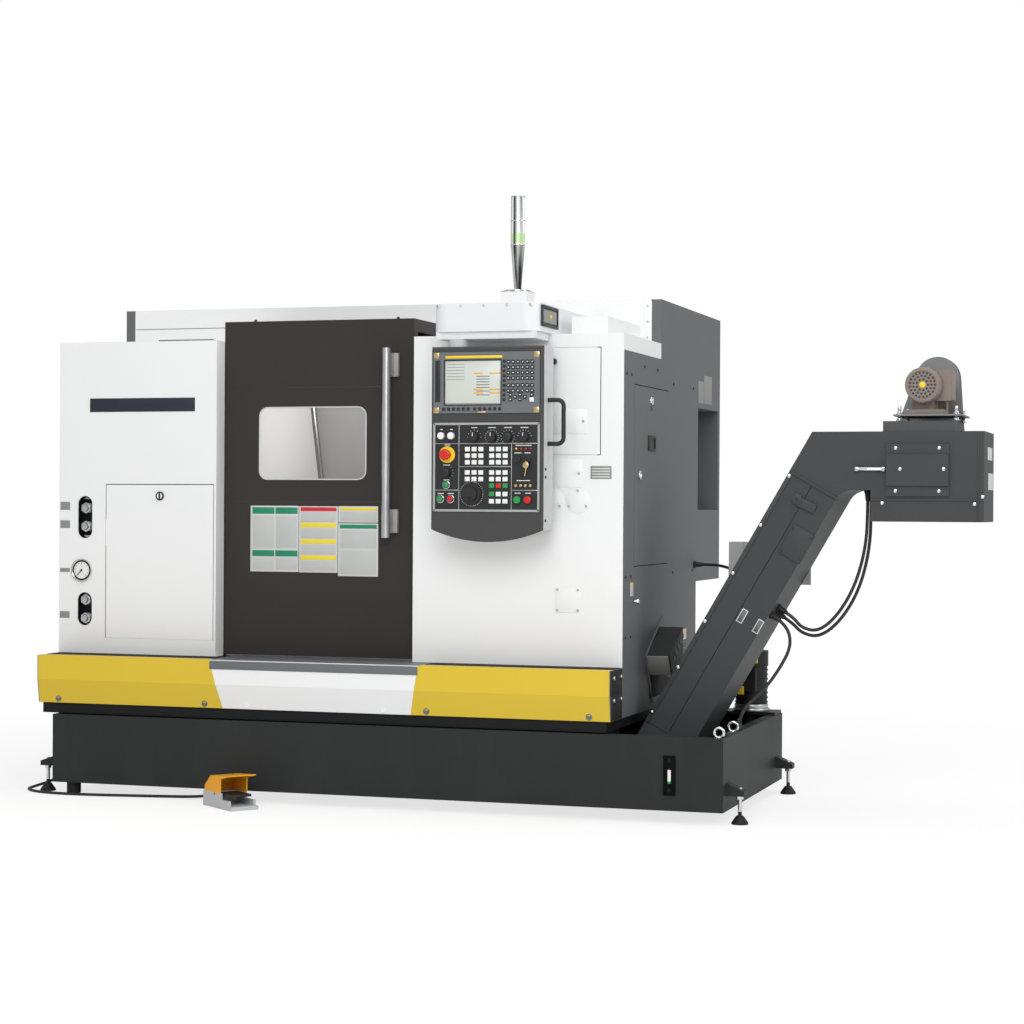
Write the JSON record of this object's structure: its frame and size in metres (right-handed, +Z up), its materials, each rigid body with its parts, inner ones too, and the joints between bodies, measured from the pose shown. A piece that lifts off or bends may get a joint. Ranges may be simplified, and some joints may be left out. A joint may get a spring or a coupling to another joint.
{
  "type": "cnc turning lathe",
  "caption": "Floor-standing slant-bed turning machine with sliding front door, swivelling control pendant, coolant pan, rising chip conveyor and foot pedal.",
  "frame": {"origin": "on the floor, under the middle of the machine's length and depth", "axes": "+X to the right of an operator at the door, towards the conveyor; +Y from the door to the rear; +Z up"},
  "size_m": [3.6392, 2.001, 2.246],
  "materials": {
    "white_paint": "semi-gloss powder coat",
    "door_paint": "textured charcoal powder coat",
    "yellow_paint": "semi-gloss powder coat",
    "side_paint": "textured grey powder coat",
    "pan_paint": "dark enamel",
    "arm_paint": "light grey powder coat",
    "pendant_paint": "textured dark grey",
    "galvanised": "galvanised sheet",
    "motor_paint": "taupe enamel",
    "pump_black": "black enamel",
    "foot_steel": "plated screws on black pads",
    "rail_steel": "ground steel",
    "chuck_steel": "turned steel",
    "jaw_steel": "milled steel",
    "slat_steel": "pressed slats",
    "casting": "painted casting",
    "window_glass": "clear laminated pane",
    "handle_tube": "black tube",
    "screen_case": "grey moulding",
    "panel_black": "black printed plate",
    "knob_black": "moulded knob",
    "stop_red": "moulded mushroom cap",
    "start_green": "moulded button",
    "hold_red": "moulded button",
    "tower_lens": "coloured lenses on a black stem",
    "gauge_rim": "plated rim",
    "pedal_grey": "light grey casting",
    "pedal_yellow": "orange-yellow enamel",
    "treadle_black": "ribbed tread",
    "cable_black": "flexible sheath"
  },
  "bodies": {
    "machine": {"left_front_panel": "white_paint", "right_front_panel": "white_paint", "right_hatch": "white_paint", "roof_panel": "white_paint", "upper_cover": "white_paint", "centre_skirt": "white_paint", "side_skirts": "yellow_paint", "left_side_panel": "side_paint", "right_side_panel": "side_paint", "rear_panel": "side_paint", "junction_box": "side_paint", "coolant_tank": "pan_paint", "conveyor_casing": "pan_paint", "side_box": "pan_paint", "machine_base": "pan_paint", "pendant_arm": "arm_paint", "chain_guard": "galvanised", "chamber_lining": "galvanised", "gear_motor": "motor_paint", "coolant_pump": "pump_black", "levelling_feet": "foot_steel", "door_rails": "rail_steel", "conveyor_belt": "slat_steel", "slant_bed": "casting", "headstock": "casting", "signal_tower": "tower_lens", "pressure_gauge": "gauge_rim", "pedal_base": "pedal_grey", "pedal_hood": "pedal_yellow", "pedal_cord": "cable_black", "head_cables": "cable_black", "pump_cable": "cable_black", "side_cable": "cable_black"},
    "door": {"front_door": "door_paint", "door_window": "window_glass", "door_handle": "handle_tube"},
    "hatch": {"service_hatch": "white_paint"},
    "side_door": {"cabinet_door": "side_paint"},
    "work_spindle": {"spindle": "rail_steel", "chuck": "chuck_steel", "chuck_jaws": "jaw_steel"},
    "carriage": {"saddle": "casting"},
    "cross_slide": {"turret_slide": "casting"},
    "turret": {"turret_disc": "chuck_steel"},
    "counter_head": {"sub_spindle_head": "casting"},
    "counter_chuck": {"sub_chuck": "chuck_steel"},
    "feed_screw": {"ball_screw": "rail_steel"},
    "pendant": {"pendant_box": "pendant_paint", "screen_unit": "screen_case", "operator_panel": "panel_black", "pendant_handle": "handle_tube"},
    "stop_button": {"emergency_stop": "stop_red"},
    "hand_dial": {"handwheel": "knob_black"},
    "mode_switch": {"mode_knob": "knob_black"},
    "feed_switch": {"feed_knob": "knob_black"},
    "speed_switch": {"speed_knob": "knob_black"},
    "start_button": {"cycle_start": "start_green"},
    "hold_button": {"feed_hold": "hold_red"},
    "drum": {"head_drum": "rail_steel"},
    "treadle": {"pedal_treadle": "treadle_black"}
  },
  "joints": [
    {"name": "door_slide", "type": "slide", "parent": "machine", "child": "door", "axis": [-1, 0, 0], "range_m": [0, 0.6]},
    {"name": "hatch_hinge", "type": "hinge", "parent": "machine", "child": "hatch", "pos_m": [-1.555, -0.60246, 0.59385], "axis": [1, 0, 0], "range_deg": [0, 90]},
    {"name": "side_door_hinge", "type": "hinge", "parent": "machine", "child": "side_door", "pos_m": [0.525, 0.07269, 0.898], "axis": [0, 0, 1], "range_deg": [0, 40]},
    {"name": "spindle_turn", "type": "hinge", "parent": "machine", "child": "work_spindle", "pos_m": [-1.047, -0.20246, 1], "axis": [1, 0, 0], "continuous": true},
    {"name": "carriage_slide", "type": "slide", "parent": "machine", "child": "carriage", "axis": [1, 0, 0], "range_m": [-0.3, 0]},
    {"name": "cross_slide_move", "type": "slide", "parent": "carriage", "child": "cross_slide", "axis": [0, -0.7071, -0.7071], "range_m": [0, 0.16]},
    {"name": "turret_turn", "type": "hinge", "parent": "cross_slide", "child": "turret", "pos_m": [-0.567, 0.00967, 1.21213], "axis": [1, 0, 0], "continuous": true},
    {"name": "counter_head_slide", "type": "slide", "parent": "machine", "child": "counter_head", "axis": [1, 0, 0], "range_m": [-0.5, 0]},
    {"name": "counter_chuck_turn", "type": "hinge", "parent": "counter_head", "child": "counter_chuck", "pos_m": [-0.111, -0.20246, 1], "axis": [1, 0, 0], "continuous": true},
    {"name": "screw_turn", "type": "hinge", "parent": "machine", "child": "feed_screw", "pos_m": [-1.075, 0.08533, 1.01626], "axis": [1, 0, 0], "range_deg": [-10801, 1]},
    {"name": "pendant_swivel", "type": "hinge", "parent": "machine", "child": "pendant", "pos_m": [-0.06, -0.74246, 1.69], "axis": [0, 0, 1], "range_deg": [-90, 0]},
    {"name": "stop_press", "type": "slide", "parent": "pendant", "child": "stop_button", "axis": [0, 1, 0], "range_m": [0, 0.005]},
    {"name": "hand_dial_turn", "type": "hinge", "parent": "pendant", "child": "hand_dial", "pos_m": [0.015, -0.80246, 1.159], "axis": [0, 1, 0], "continuous": true},
    {"name": "mode_turn", "type": "hinge", "parent": "pendant", "child": "mode_switch", "pos_m": [0.024, -0.80246, 1.363], "axis": [0, 1, 0], "range_deg": [-90, 90]},
    {"name": "feed_turn", "type": "hinge", "parent": "pendant", "child": "feed_switch", "pos_m": [0.091, -0.80246, 1.363], "axis": [0, 1, 0], "range_deg": [-150, 150]},
    {"name": "speed_turn", "type": "hinge", "parent": "pendant", "child": "speed_switch", "pos_m": [0.213, -0.80246, 1.363], "axis": [0, 1, 0], "range_deg": [-110, 110]},
    {"name": "start_press", "type": "slide", "parent": "pendant", "child": "start_button", "axis": [0, 1, 0], "range_m": [0, 0.004], "stiffness_N_per_m": 800},
    {"name": "hold_press", "type": "slide", "parent": "pendant", "child": "hold_button", "axis": [0, 1, 0], "range_m": [0, 0.004], "stiffness_N_per_m": 800},
    {"name": "drum_turn", "type": "hinge", "parent": "machine", "child": "drum", "pos_m": [1.536, -0.40246, 1.256], "axis": [0, 1, 0], "continuous": true},
    {"name": "treadle_press", "type": "hinge", "parent": "machine", "child": "treadle", "pos_m": [-0.90376, -0.87514, 0.0505], "axis": [0.6157, 0.788, 0], "range_deg": [0, 8], "stiffness_Nm_per_rad": 12}
  ],
  "couplings": [
    {"joint": "screw_turn", "follows": "carriage_slide", "rad_per_m": 628.32}
  ]
}
